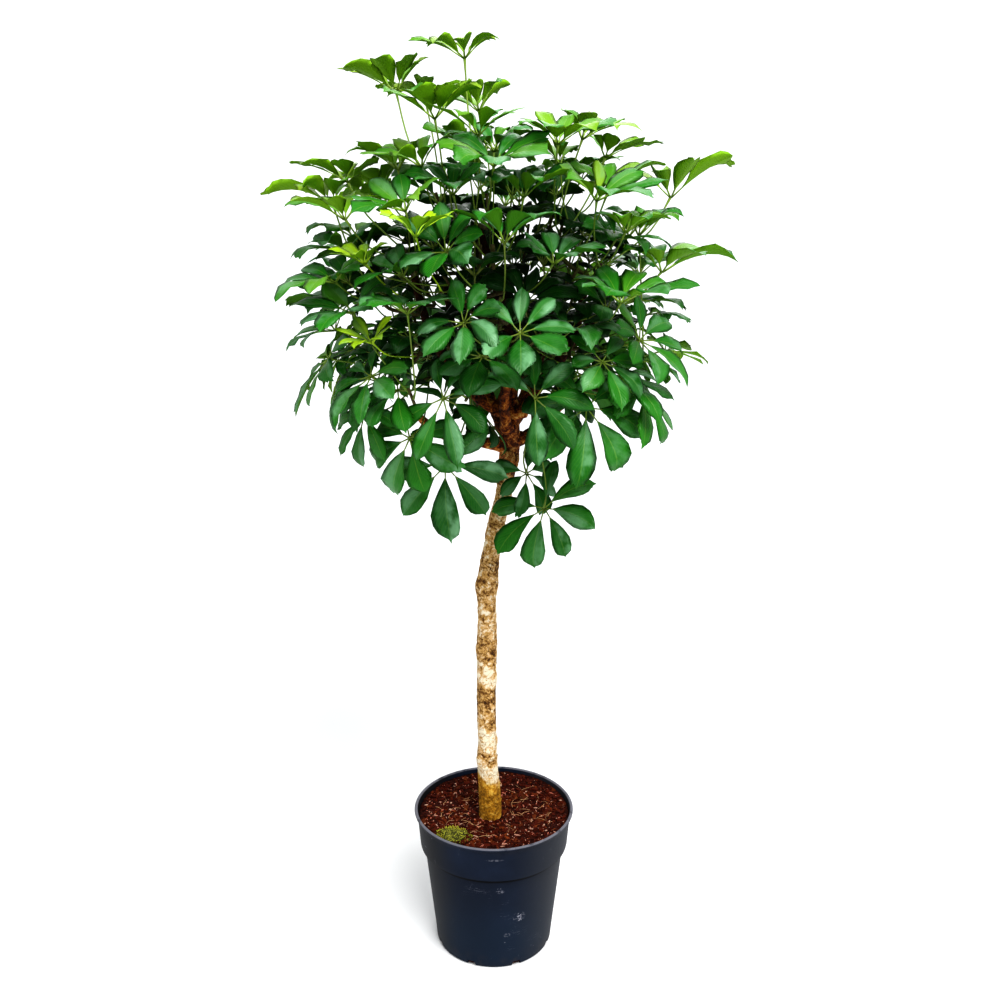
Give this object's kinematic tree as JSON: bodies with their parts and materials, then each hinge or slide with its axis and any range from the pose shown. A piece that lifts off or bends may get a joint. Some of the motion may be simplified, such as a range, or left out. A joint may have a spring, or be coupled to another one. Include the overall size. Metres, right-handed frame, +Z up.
{
  "type": "potted umbrella plant",
  "caption": "Potted umbrella plant: a standard tree with a bare mottled trunk and a round crown of glossy whorled leaves, in a round dark plastic nursery pot.",
  "frame": {"origin": "centre of the pot's flat underside, which stands on the floor", "axes": "+Z up along the plant; -Y to the front, the side the plant is shown from; +X to the viewer's right"},
  "size_m": [0.6183, 0.6318, 1.31],
  "materials": {
    "pot_plastic": "satin",
    "potting_mix": "matte",
    "moss": "matte",
    "bark": "matte",
    "limb_bark": "matte",
    "leaf": "gloss",
    "young_leaf": "satin"
  },
  "bodies": {
    "root": {"leader": "limb_bark", "limb_back_left": "limb_bark", "limb_back_right": "limb_bark", "limb_front": "limb_bark", "limb_left": "limb_bark", "limb_left_low": "limb_bark", "limb_right": "limb_bark", "limb_right_low": "limb_bark", "moss": "moss", "pot": "pot_plastic", "potting_mix": "potting_mix", "shoot_front": "leaf", "shoot_front_hanging": "leaf", "shoot_front_high": "leaf", "shoot_front_left": "leaf", "shoot_front_low": "leaf", "shoot_high_back_left_1": "leaf", "shoot_high_back_left_2": "leaf", "shoot_high_back_left_3": "leaf", "shoot_high_back_left_4": "leaf", "shoot_high_back_left_5": "leaf", "shoot_high_back_right_1": "leaf", "shoot_high_back_right_2": "leaf", "shoot_high_front_left_1": "leaf", "shoot_high_front_right_1": "leaf", "shoot_left": "leaf", "shoot_left_hanging": "leaf", "shoot_left_low": "leaf", "shoot_low_back_left_1": "leaf", "shoot_middle_back_left_1": "leaf", "shoot_middle_back_left_2": "leaf", "shoot_middle_back_left_3": "leaf", "shoot_middle_back_right_1": "leaf", "shoot_middle_back_right_2": "leaf", "shoot_middle_back_right_3": "leaf", "shoot_middle_back_right_4": "leaf", "shoot_middle_back_right_5": "leaf", "shoot_middle_front_left_1": "leaf", "shoot_middle_front_left_2": "leaf", "shoot_middle_front_left_3": "leaf", "shoot_middle_front_right_1": "leaf", "shoot_middle_front_right_2": "leaf", "shoot_middle_front_right_3": "leaf", "shoot_right": "leaf", "shoot_right_hanging": "leaf", "shoot_right_high": "leaf", "shoot_right_low": "leaf", "shoot_top": "leaf", "shoot_top_left": "leaf", "shoot_top_right": "leaf", "shoot_trunk": "leaf", "shoot_upper_heart": "leaf", "shoot_upper_left": "leaf", "shoot_upper_right": "leaf", "trunk": "bark", "young_leaf_front": "young_leaf", "young_leaf_left": "young_leaf", "young_leaf_low": "young_leaf"}
  },
  "joints": []
}
